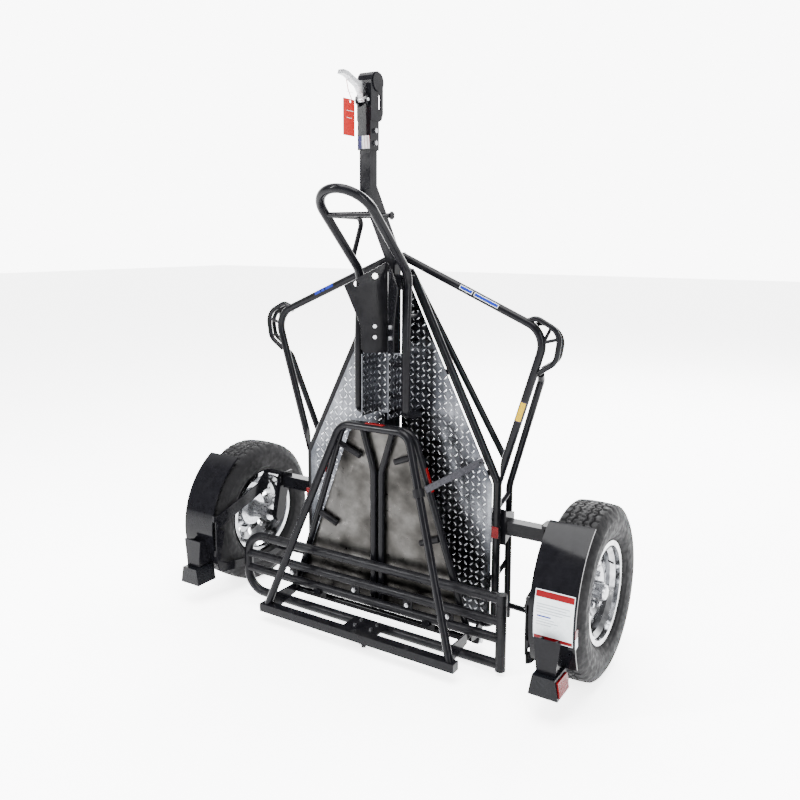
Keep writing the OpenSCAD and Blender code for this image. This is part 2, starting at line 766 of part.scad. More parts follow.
module caster_bolts() placed() color(zinc)
    for (x = [-36.5, 36.5])
        for (y = [-22, 22])
            translate([caster_x + x, -228 + y, 67.05]) hex_bolt(7.5, 5, 4, 9);

module caster_fork() placed() color(zinc)
    translate([caster_x, caster_y, 0])
        rotate([0, 0, atan2(caster_trail[1], caster_trail[0])]) {
            t = norm(caster_trail);
            translate([0, 0, 53]) cylinder(h = 5, r = 17);
            translate([-14, -15, 45]) cube([30, 30, 8.05]);
            for (s = [-1, 1])
                difference() {
                    side_y = s * 13.2;
                    translate([0, side_y + 1.3, 0])
                        rotate([90, 0, 0])
                            linear_extrude(2.6)
                                polygon([[-14, 50], [-14, 44], [t - 8, 14], [t + 6, 12], [t + 9, 20],
                                    [t + 4, 27], [16, 50]]);
                    translate([t, 20, caster_d / 2]) rotate([90, 0, 0]) cylinder(h = 40, r = 4);
                }
        }

module caster_wheel() placed() color([0.06, 0.06, 0.06])
    translate([caster_x, caster_y, 0])
        rotate([0, 0, atan2(caster_trail[1], caster_trail[0])])
            translate([norm(caster_trail), 0, caster_d / 2])
                rotate([90, 0, 0])
                    rotate_extrude()
                        polygon([[4.05, -10], [12, -10], [13, -8], [caster_d / 2 - 2, -8],
                            [caster_d / 2, -6], [caster_d / 2, 6], [caster_d / 2 - 2, 8], [13, 8],
                            [12, 10], [4.05, 10]]);

module caster_axle() placed() color(zinc)
    translate([caster_x, caster_y, 0])
        rotate([0, 0, atan2(caster_trail[1], caster_trail[0])])
            translate([norm(caster_trail), 0, caster_d / 2])
                rotate([90, 0, 0]) {
                    translate([0, 0, -18]) cylinder(h = 36, r = 3.95);
                    translate([0, 0, 14.6]) cylinder(h = 4, r = 8, $fn = 6);
                    translate([0, 0, -18.6]) cylinder(h = 4, r = 8, $fn = 6);
                }

// ---------- ramp, stowed across the tail ----------

strap_x = [-386, -80, 160, 332];

module ramp() placed() color(satin) {
    r = ramp_d / 2;
    bent_tube([[ramp_right, ramp_y, ramp_rails[0]], [ramp_left, ramp_y, ramp_rails[0]],
        [ramp_left, ramp_y, ramp_rails[3]], [ramp_right, ramp_y, ramp_rails[3]]], [85, 85], r);
    for (z = [ramp_rails[1], ramp_rails[2]])
        rod([ramp_left, ramp_y, z], [ramp_right, ramp_y, z], r - 1);
    rod([ramp_right, ramp_y, 14], [ramp_right, ramp_y, 296], r + 1);
    for (x = strap_x)
        translate([x - 20, ramp_y - 3, ramp_rails[2] + 10]) cube([40, 6, ramp_rails[1] - ramp_rails[2] - 20]);
}

module ramp_knobs() placed() color(zinc)
    for (x = strap_x)
        translate([x, ramp_y - 3.05, (ramp_rails[1] + ramp_rails[2]) / 2])
            rotate([90, 0, 0]) {
                cylinder(h = 10, r = 9, $fn = 6);
                cylinder(h = 14, r = 5);
            }

// ---------- lock bar ----------

leg_dir = unit([-262, stand_head[1] - stand_foot[1] + 3, stand_head[2] - stand_foot[2]]);
clamp_at = [414, stand_foot[1] - 3, stand_foot[2]] + leg_dir * 594;
lock_end = [392, -24, 716];

module lock_bar() placed() color([0.4, 0.4, 0.42]) {
    d = unit(lock_end - clamp_at);
    start = clamp_at + d * 27;
    difference() {
        translate(start)
            rotate([0, acos(d[2]), atan2(d[1], d[0])])
                translate([-13, -2.5, 0])
                    cube([26, 5, norm(lock_end - start)]);
        translate(lock_end - d * 16)
            rotate([0, acos(d[2]), atan2(d[1], d[0])])
                rotate([90, 0, 0])
                    cylinder(h = 30, r = 6, center = true);
    }
}

module lock_clamp() placed() color(satin)
    difference() {
        rod(clamp_at - leg_dir * 15, clamp_at + leg_dir * 15, 21.5);
        rod(clamp_at - leg_dir * 30, clamp_at + leg_dir * 30, stand_d / 2 + 0.06);
    }

spine_tongue();
deck_frame();
deck_plate();
wheel_channel();
chock_hoop();
chock_plate_left();
chock_plate_right();
chock_bolts();
chock_bracket();
tie_down_arm_left();
tie_down_arm_right();
rear_truss_left();
rear_truss_right();
axle_beam();
axle_brackets();
hinge_lugs();
hinge_pins();
chain_anchor();
deck_reflectors();
fender_left();
fender_right();
fender_stay_left();
fender_stay_right();
light_bracket_left();
light_bracket_right();
light_box_left();
light_box_right();
light_lens_left();
light_lens_right();
coupler_body();
coupler_clamp();
latch_lever();
coupler_bolts();
hang_tag();
torsion_arm_left();
torsion_arm_right();
tyre_left();
tyre_right();
rim_left();
rim_right();
hub_left();
hub_right();
lug_nuts_left();
lug_nuts_right();
tail_frame();
tail_plate();
tail_keel();
ramp_pegs();
stand_hoop();
stand_gussets();
tail_reflectors();
caster_bracket();
caster_bolts();
caster_fork();
caster_wheel();
caster_axle();
ramp();
ramp_knobs();
lock_bar();
lock_clamp();
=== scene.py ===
"""Looks of the folding motorcycle trailer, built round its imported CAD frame. Lengths are metres."""
import json
import math

import bpy
from mathutils import Matrix, Vector


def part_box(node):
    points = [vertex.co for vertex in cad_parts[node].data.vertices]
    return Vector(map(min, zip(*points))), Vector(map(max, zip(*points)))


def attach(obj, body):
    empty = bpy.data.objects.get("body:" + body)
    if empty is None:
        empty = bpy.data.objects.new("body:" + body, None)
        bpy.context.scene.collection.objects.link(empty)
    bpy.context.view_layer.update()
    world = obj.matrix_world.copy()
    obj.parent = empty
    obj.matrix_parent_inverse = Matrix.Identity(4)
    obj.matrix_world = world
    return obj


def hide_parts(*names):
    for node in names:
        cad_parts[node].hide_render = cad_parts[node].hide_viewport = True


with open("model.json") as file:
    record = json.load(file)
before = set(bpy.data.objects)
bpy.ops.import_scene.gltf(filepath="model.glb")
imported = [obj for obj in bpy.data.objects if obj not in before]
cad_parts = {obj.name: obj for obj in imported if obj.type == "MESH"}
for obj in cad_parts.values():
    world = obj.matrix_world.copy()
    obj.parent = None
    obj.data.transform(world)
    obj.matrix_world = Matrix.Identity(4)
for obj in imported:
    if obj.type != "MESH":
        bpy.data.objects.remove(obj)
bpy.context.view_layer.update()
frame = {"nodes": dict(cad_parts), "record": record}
NODES = frame["nodes"]

MM = 0.001
FRAME_Y = 36 * MM            # the deck's own Y = 0 lies this far behind the row's origin
TAU = 2 * math.pi


def deck(x, y, z):
    """A point given in the deck's millimetres, in row metres."""
    return Vector((x * MM, y * MM + FRAME_Y, z * MM))


# ---------------------------------------------------------------- camera, floor and light

def make_camera():
    data = bpy.data.cameras.new("camera")
    data.sensor_width = 36.0
    data.lens = 36.4
    data.shift_x = 0.007
    data.shift_y = -0.056
    data.clip_end = 60.0
    camera = bpy.data.objects.new("camera", data)
    yaw, pitch, roll = 0.5654, 0.1442, 0.004
    ahead = Vector((-math.sin(yaw) * math.cos(pitch), math.cos(yaw) * math.cos(pitch), -math.sin(pitch)))
    side = Vector((math.cos(yaw), math.sin(yaw), 0))
    top = side.cross(ahead)
    right = math.cos(roll) * side + math.sin(roll) * top
    up = -math.sin(roll) * side + math.cos(roll) * top
    turn = Matrix((right, up, -ahead)).transposed().to_4x4()
    camera.matrix_world = Matrix.Translation((1.643, -2.603 + FRAME_Y, 1.515)) @ turn
    bpy.context.collection.objects.link(camera)
    bpy.context.scene.camera = camera


def area_light(name, place, target, size, power):
    data = bpy.data.lights.new(name, "AREA")
    data.shape = "RECTANGLE"
    data.size, data.size_y = size
    data.energy = power
    light = bpy.data.objects.new(name, data)
    light.location = place
    light.rotation_euler = (Vector(target) - Vector(place)).to_track_quat("-Z", "Y").to_euler()
    bpy.context.collection.objects.link(light)


def make_studio():
    reach = 30.0
    mesh = bpy.data.meshes.new("studio_floor")
    corners = [(-reach, -reach, 0), (reach, -reach, 0), (reach, reach, 0), (-reach, reach, 0)]
    mesh.from_pydata(corners, [], [(0, 1, 2, 3)])
    floor = bpy.data.objects.new("studio_floor", mesh)
    bpy.context.collection.objects.link(floor)
    floor.data.materials.append(FLOOR)
    world = bpy.data.worlds.new("studio")
    world.use_nodes = True
    tree = world.node_tree
    sky = tree.nodes["Background"]
    sky.inputs["Color"].default_value = (1, 1, 1, 1)
    toward = tree.nodes.new("ShaderNodeVectorMath")
    toward.operation = "DOT_PRODUCT"
    toward.inputs[1].default_value = (-0.53, 0.84, -0.1)
    tree.links.new(tree.nodes.new("ShaderNodeTexCoord").outputs["Generated"], toward.inputs[0])
    glow = tree.nodes.new("ShaderNodeMapRange")
    glow.inputs["From Min"].default_value = 0.1
    glow.inputs["From Max"].default_value = 0.8
    glow.inputs["To Min"].default_value = 0.9
    glow.inputs["To Max"].default_value = 9.0
    tree.links.new(toward.outputs["Value"], glow.inputs["Value"])
    tree.links.new(glow.outputs["Result"], sky.inputs["Strength"])
    bpy.context.scene.world = world
    area_light("key", (-2.6, -3.4, 3.4), (0, 0, 0.9), (0.5, 2.6), 420)
    area_light("fill", (3.8, -2.2, 2.2), (0, 0, 0.8), (0.4, 2.6), 240)
    area_light("top", (0.4, -1.0, 5.0), (0, 0, 0.6), (3.4, 3.4), 900)
    area_light("back", (0.5, 5.0, 4.5), (0, 2.5, 0.0), (4.0, 2.0), 900)


# ---------------------------------------------------------------- materials

class Recipe:
    """A Principled material and short ways to add procedural detail to it."""

    def __init__(self, name, color, roughness, metallic=0.0, **sockets):
        self.material = bpy.data.materials.new(name)
        self.material.use_nodes = True
        self.tree = self.material.node_tree
        self.shader = self.tree.nodes["Principled BSDF"]
        self.shader.inputs["Base Color"].default_value = (*color, 1)
        self.shader.inputs["Roughness"].default_value = roughness
        self.shader.inputs["Metallic"].default_value = metallic
        for socket, value in sockets.items():
            self.shader.inputs[socket.replace("_", " ")].default_value = value
        self.place = self.tree.nodes.new("ShaderNodeTexCoord").outputs["Object"]
        self.height = None

    def link(self, out, into):
        self.tree.links.new(out, into)

    def stretched(self, scale):
        node = self.tree.nodes.new("ShaderNodeMapping")
        node.inputs["Scale"].default_value = scale
        self.link(self.place, node.inputs["Vector"])
        return node.outputs["Vector"]

    def noise(self, scale, detail=4.0, stretch=None):
        node = self.tree.nodes.new("ShaderNodeTexNoise")
        node.inputs["Scale"].default_value = scale
        node.inputs["Detail"].default_value = detail
        self.link(self.stretched(stretch) if stretch else self.place, node.inputs["Vector"])
        return node.outputs["Fac"]

    def cells(self, scale, feature="F1"):
        node = self.tree.nodes.new("ShaderNodeTexVoronoi")
        node.feature = feature
        node.inputs["Scale"].default_value = scale
        self.link(self.place, node.inputs["Vector"])
        return node.outputs["Distance"]

    def ramp(self, factor, stops):
        node = self.tree.nodes.new("ShaderNodeValToRGB")
        points = node.color_ramp.elements
        while len(points) < len(stops):
            points.new(0.5)
        for point, (where, color) in zip(points, stops):
            point.position = where
            point.color = (*color, 1) if isinstance(color, tuple) else (color, color, color, 1)
        self.link(factor, node.inputs["Fac"])
        return node.outputs["Color"]

    def mix(self, factor, first, second):
        node = self.tree.nodes.new("ShaderNodeMix")
        node.data_type = "RGBA"
        self.link(factor, node.inputs[0])
        self.link(first, node.inputs[6])
        self.link(second, node.inputs[7])
        return node.outputs[2]

    def facing_up(self, low=0.35, high=0.95):
        geometry = self.tree.nodes.new("ShaderNodeNewGeometry")
        split = self.tree.nodes.new("ShaderNodeSeparateXYZ")
        self.link(geometry.outputs["Normal"], split.inputs[0])
        return self.ramp(split.outputs["Z"], [(low, 0.0), (high, 1.0)])

    def color(self, out):
        self.link(out, self.shader.inputs["Base Color"])

    def roughness(self, factor, low, high):
        self.link(self.ramp(factor, [(0.3, low), (0.7, high)]), self.shader.inputs["Roughness"])

    def bump(self, height, strength, distance=0.001):
        node = self.tree.nodes.new("ShaderNodeBump")
        node.inputs["Strength"].default_value = strength
        node.inputs["Distance"].default_value = distance
        self.link(height, node.inputs["Height"])
        if self.height:
            self.link(self.height, node.inputs["Normal"])
        self.height = node.outputs["Normal"]
        self.link(self.height, self.shader.inputs["Normal"])


def gloss_black(name, rough_low, rough_high, dust):
    r = Recipe(name, (0.003, 0.003, 0.0035), rough_low, IOR=1.15)
    dusty = r.ramp(r.noise(9.0, 6.0), [(0.5, 0.0), (0.8, dust)])
    paint = r.ramp(r.noise(40.0), [(0.2, (0.0015, 0.0015, 0.002)), (0.9, (0.004, 0.004, 0.005))])
    settled = r.ramp(r.noise(160.0, 8.0), [(0.3, (0.006, 0.006, 0.006)), (0.8, (0.022, 0.021, 0.02))])
    top = r.mix(r.facing_up(), paint, r.mix(dusty, paint, settled))
    r.color(top)
    r.roughness(r.noise(22.0, 5.0), rough_low, rough_high)
    r.bump(r.noise(260.0, 2.0), 0.03, 0.0003)
    return r.material


def satin_grey():
    r = Recipe("ramp_paint", (0.004, 0.004, 0.005), 0.3, IOR=1.15)
    r.color(r.ramp(r.noise(30.0, 6.0), [(0.3, (0.002, 0.002, 0.0025)), (0.8, (0.006, 0.006, 0.007))]))
    r.roughness(r.noise(60.0), 0.24, 0.4)
    r.bump(r.noise(700.0, 3.0), 0.25, 0.0004)
    return r.material


def tread_metal():
    r = Recipe("tread_metal", (0.35, 0.36, 0.38), 0.25, 1.0)
    patches = r.ramp(r.noise(5.0, 3.0), [(0.35, (0.03, 0.032, 0.037)), (0.72, (0.15, 0.156, 0.17))])
    streaks = r.ramp(r.noise(60.0, 5.0, (1.0, 1.0, 0.12)), [(0.35, 0.55), (0.75, 1.0)])
    node = r.tree.nodes.new("ShaderNodeMix")
    node.data_type = "RGBA"
    node.blend_type = "MULTIPLY"
    node.inputs[0].default_value = 1.0
    r.link(patches, node.inputs[6])
    r.link(streaks, node.inputs[7])
    r.color(node.outputs[2])
    r.roughness(r.noise(35.0, 5.0), 0.16, 0.38)
    r.bump(r.noise(900.0, 2.0), 0.1, 0.0003)
    return r.material


def lens_rib_red():
    r = Recipe("lens_rib_red", (0.08, 0.0005, 0.001), 0.1, IOR=1.2)
    r.color(r.ramp(r.noise(200.0), [(0.3, (0.06, 0.0004, 0.001)), (0.7, (0.12, 0.001, 0.002))]))
    r.roughness(r.noise(300.0), 0.06, 0.2)
    return r.material


def lug_metal():
    r = Recipe("lug_metal", (0.75, 0.76, 0.78), 0.22, 1.0)
    r.color(r.ramp(r.noise(25.0), [(0.3, (0.24, 0.247, 0.265)), (0.7, (0.55, 0.56, 0.585))]))
    r.roughness(r.noise(300.0), 0.15, 0.35)
    return r.material


def sheet_metal():
    r = Recipe("sheet_metal", (0.5, 0.48, 0.45), 0.35, 1.0)
    clouds = r.noise(7.0, 8.0)
    r.color(r.ramp(clouds, [(0.36, (0.01, 0.0095, 0.0088)), (0.5, (0.026, 0.0248, 0.0232)),
                            (0.66, (0.055, 0.0533, 0.0508))]))
    r.roughness(r.noise(55.0, 6.0), 0.26, 0.5)
    r.bump(r.noise(240.0, 5.0), 0.18, 0.0004)
    return r.material


def chrome():
    r = Recipe("chrome", (0.3, 0.3, 0.31), 0.07, 1.0)
    r.color(r.ramp(r.noise(18.0, 5.0), [(0.3, (0.11, 0.112, 0.118)), (0.7, (0.34, 0.345, 0.355))]))
    r.roughness(r.noise(70.0, 6.0), 0.05, 0.2)
    r.bump(r.noise(300.0, 2.0), 0.03, 0.0003)
    return r.material


def zinc(name="zinc", tint=(0.34, 0.345, 0.36)):
    r = Recipe(name, tint, 0.3, 1.0)
    dark = tuple(c * 0.7 for c in tint)
    r.color(r.ramp(r.noise(90.0, 4.0), [(0.3, dark), (0.7, tint)]))
    r.roughness(r.noise(200.0, 4.0), 0.2, 0.42)
    r.bump(r.noise(800.0, 2.0), 0.08, 0.0003)
    return r.material


def tyre_rubber():
    r = Recipe("tyre_rubber", (0.01, 0.01, 0.011), 0.6, IOR=1.17)
    clean = r.ramp(r.noise(14.0, 5.0), [(0.3, (0.0016, 0.0016, 0.0019)), (0.7, (0.004, 0.004, 0.0046))])
    dusty = r.ramp(r.noise(220.0, 6.0), [(0.3, (0.004, 0.004, 0.0043)), (0.8, (0.012, 0.0118, 0.012))])
    r.color(r.mix(r.ramp(r.noise(6.0, 6.0), [(0.4, 0.05), (0.75, 0.6)]), clean, dusty))
    r.roughness(r.noise(50.0), 0.5, 0.82)
    r.bump(r.noise(1100.0, 3.0), 0.35, 0.0004)
    return r.material


def moulded(name, color, low, high, grain):
    r = Recipe(name, color, low, IOR=1.16)
    pale = tuple(min(1.0, c * 1.5 + 0.0004) for c in color)
    r.color(r.ramp(r.noise(35.0, 6.0), [(0.35, color), (0.85, pale)]))
    r.roughness(r.noise(90.0, 4.0), low, high)
    r.bump(r.cells(grain), 0.12, 0.0002)
    return r.material


def red_lens():
    r = Recipe("red_lens", (0.08, 0.0005, 0.001), 0.12, IOR=1.18)
    r.color(r.ramp(r.cells(260.0), [(0.1, (0.11, 0.0006, 0.0015)), (0.7, (0.045, 0.0002, 0.0008))]))
    r.bump(r.cells(260.0), 0.5, 0.0008)
    r.roughness(r.noise(120.0), 0.08, 0.22)
    return r.material


def printed(name, color, roughness=0.35):
    r = Recipe(name, color, roughness, IOR=1.2)
    worn = tuple(c * 0.86 for c in color)
    r.color(r.ramp(r.noise(120.0, 5.0), [(0.35, worn), (0.65, color)]))
    r.roughness(r.noise(260.0, 3.0), roughness, roughness + 0.15)
    r.bump(r.noise(600.0, 2.0), 0.05, 0.0002)
    return r.material


def floor_white():
    r = Recipe("floor_white", (0.93, 0.93, 0.94), 0.75, IOR=1.2,
               Emission_Color=(1, 1, 1, 1), Emission_Strength=3.4)
    r.color(r.ramp(r.noise(3.0, 4.0), [(0.3, (0.92, 0.92, 0.93)), (0.7, (0.94, 0.94, 0.945))]))
    return r.material


FLOOR = floor_white()
FRAME_BLACK = gloss_black("frame_black", 0.1, 0.26, 0.55)
FENDER_BLACK = gloss_black("fender_black", 0.05, 0.14, 0.35)
RAMP_GREY = satin_grey()
TREAD = tread_metal()
LUG = lug_metal()
SHEET = sheet_metal()
CHROME = chrome()
ZINC = zinc()
STRAP = zinc("strap_steel", (0.022, 0.022, 0.025))
RUBBER = tyre_rubber()
HARD_RUBBER = moulded("hard_rubber", (0.002, 0.002, 0.0025), 0.35, 0.55, 900.0)
LAMP_BLACK = moulded("lamp_black", (0.0018, 0.002, 0.0026), 0.2, 0.32, 1400.0)
LENS = red_lens()
LENS_RIB = lens_rib_red()
TAG_RED = printed("tag_red", (0.2, 0.006, 0.005), 0.5)
LABEL_WHITE = printed("label_white", (0.42, 0.45, 0.47))
LABEL_RED = printed("label_red", (0.085, 0.0003, 0.002))
LABEL_GREY = printed("label_grey", (0.2, 0.22, 0.24))
LABEL_BLUE = printed("label_blue", (0.0, 0.006, 0.12))
LABEL_NAVY = printed("label_navy", (0.005, 0.005, 0.03))
LABEL_YELLOW = printed("label_yellow", (0.26, 0.165, 0.0))

SLOT_LOOKS = {
    "frame_paint": FRAME_BLACK, "fender_paint": FENDER_BLACK, "tread_plate": TREAD, "sheet_alloy": SHEET,
    "zinc": ZINC, "tyre": RUBBER, "chrome": CHROME, "caster_tread": HARD_RUBBER, "ramp_paint": RAMP_GREY,
    "strap_steel": STRAP, "peg_rubber": HARD_RUBBER, "lamp_housing": LAMP_BLACK, "red_lens": LENS,
    "paper_tag": TAG_RED,
}


EDGED = (
    "spine_tongue", "axle_beam", "light_box_left", "light_box_right", "light_bracket_left",
    "light_bracket_right", "torsion_arm_left", "torsion_arm_right", "chock_plate_left",
    "chock_plate_right", "lock_bar", "stand_gussets", "latch_lever", "axle_brackets",
)


def soften_edges(node):
    """Rounds the sharp plate and box edges a little, as paint and folding do."""
    weld = node.modifiers.new("join", "WELD")
    weld.merge_threshold = 0.00002
    bevel = node.modifiers.new("edge", "BEVEL")
    bevel.width = 0.9 * MM
    bevel.segments = 2
    bevel.limit_method = "ANGLE"
    bevel.angle_limit = math.radians(50)
    bevel.use_clamp_overlap = True
    bevel.harden_normals = True


def dress_nodes():
    slots = {row["node"]: row["material_slot"] for row in frame["record"]["subparts"]}
    for name, node in NODES.items():
        node.data.materials.clear()
        node.data.materials.append(SLOT_LOOKS[slots[name]])
        if name in EDGED:
            soften_edges(node)


# ---------------------------------------------------------------- mesh helpers

def add_piece(name, points, faces, material, body, smooth=False):
    """Makes one mesh piece that rides on a body."""
    mesh = bpy.data.meshes.new(name)
    mesh.from_pydata([tuple(p) for p in points], [], faces)
    mesh.materials.append(material)
    mesh.polygons.foreach_set("use_smooth", [smooth] * len(mesh.polygons))
    mesh.validate()
    piece = bpy.data.objects.new(name, mesh)
    bpy.context.collection.objects.link(piece)
    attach(piece, body)
    return piece


# ---------------------------------------------------------------- tread plate lugs

LUG_PITCH = 24 * MM
LUG_LENGTH = 21 * MM
LUG_WIDTH = 6.5 * MM
LUG_HEIGHT = 1.5 * MM


def lug(points, faces, centre, along, across, out):
    """A raised almond: a base outline, a higher inner outline and a crown."""
    start = len(points)
    around = 10
    for scale, rise in ((1.0, -0.2), (0.55, 0.85)):
        for i in range(around):
            a = TAU * i / around
            taper = abs(math.sin(a)) ** 1.3 * (1 if math.sin(a) >= 0 else -1)
            points.append(centre + along * (math.cos(a) * LUG_LENGTH / 2 * scale)
                          + across * (taper * LUG_WIDTH / 2 * scale) + out * (LUG_HEIGHT * rise))
    points.append(centre + out * LUG_HEIGHT)
    top = start + 2 * around
    for i in range(around):
        j = (i + 1) % around
        faces.append((start + i, start + j, start + around + j, start + around + i))
        faces.append((start + around + i, start + around + j, top))


def lug_field(name, body, origin, right, up, width, height, inside):
    """Covers a rectangle with crossed lugs where inside(u, v) says so; u and v are metres from the origin."""
    points, faces = [], []
    out = right.cross(up)
    for row in range(int(height / LUG_PITCH) + 1):
        for column in range(int(width / LUG_PITCH) + 1):
            u, v = (column + 0.5) * LUG_PITCH, (row + 0.5) * LUG_PITCH
            if not inside(u, v):
                continue
            lean = math.radians(38 if (row + column) % 2 else -52)
            along = right * math.cos(lean) + up * math.sin(lean)
            across = out.cross(along)
            lug(points, faces, origin + right * u + up * v, along, across, out)
    return add_piece(name, points, faces, LUG, body, smooth=True)


def make_deck_lugs():
    low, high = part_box("deck_plate")
    shoulder = deck(0, 0, 632).z
    peak = deck(0, 0, 1370).z
    slope = (430 - 65) / (1370 - 632)
    margin = LUG_LENGTH * 0.62

    def inside(u, v):
        x, z = low.x + u, low.z + v
        reach = high.x - max(0.0, z - shoulder) * slope
        return abs(x) < reach - margin and abs(x) > 0.036 + margin * 0.3 and z < peak - margin

    lug_field("deck_lugs", "main_frame", Vector((low.x, low.y, low.z)), Vector((1, 0, 0)), Vector((0, 0, 1)),
              high.x - low.x, high.z - low.z, inside)


def make_channel_lugs():
    low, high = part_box("wheel_channel")
    wall = 3 * MM
    floor_front = deck(0, -52.5, 0).y
    margin = LUG_LENGTH * 0.55
    height = high.z - low.z
    depth = floor_front - low.y
    up = Vector((0, 0, 1))

    def in_field(width):
        return lambda u, v: margin * 0.6 < u < width - margin * 0.6 and margin < v < height - margin * 0.5

    width = high.x - low.x - 2 * wall
    lug_field("channel_floor_lugs", "main_frame", Vector((low.x + wall, floor_front, low.z)),
              Vector((1, 0, 0)), up, width, height, in_field(width))
    forward, back = Vector((0, -1, 0)), Vector((0, 1, 0))
    full = high.y - low.y
    walls = (("channel_left_lugs", low.x + wall, low.y, back, depth),
             ("channel_right_lugs", high.x - wall, floor_front, forward, depth),
             ("channel_outer_right_lugs", high.x, low.y, back, full),
             ("channel_outer_left_lugs", low.x, high.y, forward, full))
    for name, x, y, along, length in walls:
        lug_field(name, "main_frame", Vector((x, y, low.z)), along, up, length, height, in_field(length))


# ---------------------------------------------------------------- tyres

TYRE_AROUND = 288
TREAD_HALF = 62 * MM
GROOVE_DEPTH = 7 * MM


def tyre_outline():
    """Half of the carcass as (distance from the middle plane, radius), from the bead out to the crown."""
    side = [(48, 166.1), (59.4, 166.1), (59.4, 181), (61, 186), (66, 189), (70, 193), (71.5, 196),
            (75.5, 204), (77.5, 206), (80, 214), (82.5, 224), (84.2, 234), (85, 244), (84.8, 252),
            (84, 259), (84.6, 261), (83.4, 266), (80.5, 274), (76.8, 282), (73, 288.5), (70, 293),
            (67.5, 296.5), (64.5, 299)]
    return [(x * MM, r * MM) for x, r in side]


def groove(x, angle):
    """How deep the tread is cut at this place, from 0 to 1."""
    zig = abs((angle / TAU * 46) % 1.0 - 0.5) * 2 - 0.5
    cut = 0.0
    for middle, swing, half in ((19, 5.5, 3.4), (43, 5.0, 3.0)):
        gap = abs(abs(x) / MM - middle - swing * zig * 2 * (1 if x > 0 else -1)) - half
        cut = max(cut, min(1.0, max(0.0, -gap / 1.2)))
    place = (angle / TAU * 46 + (0.5 if x > 0 else 0.0)) % 1.0
    if abs(x) > 46 * MM and abs(place - 0.5) < 0.12:
        cut = max(cut, 0.8)
    block = (angle / TAU * 92 + x / MM * 0.012) % 1.0
    if 22 * MM < abs(x) < 40 * MM and abs(block - 0.5) < 0.1:
        cut = max(cut, 0.6)
    if abs(x) < 15 * MM and abs((angle / TAU * 92 - x / MM * 0.02) % 1.0 - 0.5) < 0.09:
        cut = max(cut, 0.6)
    return cut


def make_tyre(side):
    node = "tyre_" + side
    low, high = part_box(node)
    centre = (low + high) / 2
    outer = (high.z - low.z) / 2
    profile = [(x, r, 0.0) for x, r in tyre_outline()]
    steps = 46
    for i in range(steps + 1):
        x = TREAD_HALF * (1 - 2 * i / steps)
        crown = outer - 3.6 * MM * (abs(x) / TREAD_HALF) ** 2.4
        profile.append((x, crown, 1.0))
    profile += [(-x, r, 0.0) for x, r in reversed(tyre_outline())]
    inner = [(0.048, 0.18), (0.062, 0.21), (0.066, 0.25), (0.05, 0.283)]
    profile += [(-x, r, 0.0) for x, r in inner] + [(0.0, 0.287, 0.0)]
    profile += [(x, r, 0.0) for x, r in reversed(inner)]
    points, faces = [], []
    count = len(profile)
    for k in range(TYRE_AROUND):
        angle = TAU * (k + 0.5) / TYRE_AROUND
        for x, r, tread in profile:
            if tread:
                r -= GROOVE_DEPTH * groove(x, angle)
            elif r > 0.285 and abs(x) > 0.06:
                lug_here = abs((angle / TAU * 46 + (0.5 if x > 0 else 0.0)) % 1.0 - 0.5) < 0.12
                x -= (2.2 * MM if x > 0 else -2.2 * MM) if lug_here else 0.0
            points.append((centre.x + x, centre.y + r * math.cos(angle), centre.z + r * math.sin(angle)))
    for k in range(TYRE_AROUND):
        m = (k + 1) % TYRE_AROUND
        for i in range(count):
            j = (i + 1) % count
            faces.append((k * count + i, k * count + j, m * count + j, m * count + i))
    tyre = add_piece("tyre_tread_" + side, points, faces, RUBBER, "wheel_" + side, smooth=True)
    tyre.data.set_sharp_from_angle(angle=math.radians(38))
    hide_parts(node)


# ---------------------------------------------------------------- labels, tags and small fittings

def box_piece(name, low, high, look, body, edge=0.0):
    (a, b, c), (d, e, f) = low, high
    points = [(x, y, z) for x in (a, d) for y in (b, e) for z in (c, f)]
    faces = [(0, 1, 3, 2), (4, 6, 7, 5), (0, 4, 5, 1), (2, 3, 7, 6), (0, 2, 6, 4), (1, 5, 7, 3)]
    piece = add_piece(name, points, faces, look, body)
    if edge:
        bevel = piece.modifiers.new("edge", "BEVEL")
        bevel.width = edge
        bevel.segments = 2
    return piece


def strip_faces(k, m):
    """The four long faces between two rings of a flat bar, whose corners start at k and m."""
    return [(k + 1, k + 3, m + 3, m + 1), (k, m, m + 2, k + 2), (k, k + 1, m + 1, m),
            (k + 2, m + 2, m + 3, k + 3)]


def curved_patch(name, x0, x1, a0, a1, radius, look, body):
    """A thin sheet lying on the fender: its angles run from the front's level line, upwards."""
    axle = deck(0, 25, 305)
    points, faces = [], []
    steps = max(2, int(abs(a1 - a0) / 1.5))
    for i in range(steps + 1):
        a = math.radians(a0 + (a1 - a0) * i / steps)
        for x in (x0, x1):
            for r in (radius, radius + 0.25):
                points.append((x * MM, axle.y - r * MM * math.cos(a), axle.z + r * MM * math.sin(a)))
    for i in range(steps):
        k, m = i * 4, i * 4 + 4
        faces += strip_faces(k, m)
    faces += [(0, 2, 3, 1), (steps * 4, steps * 4 + 1, steps * 4 + 3, steps * 4 + 2)]
    return add_piece(name, points, faces, look, body)


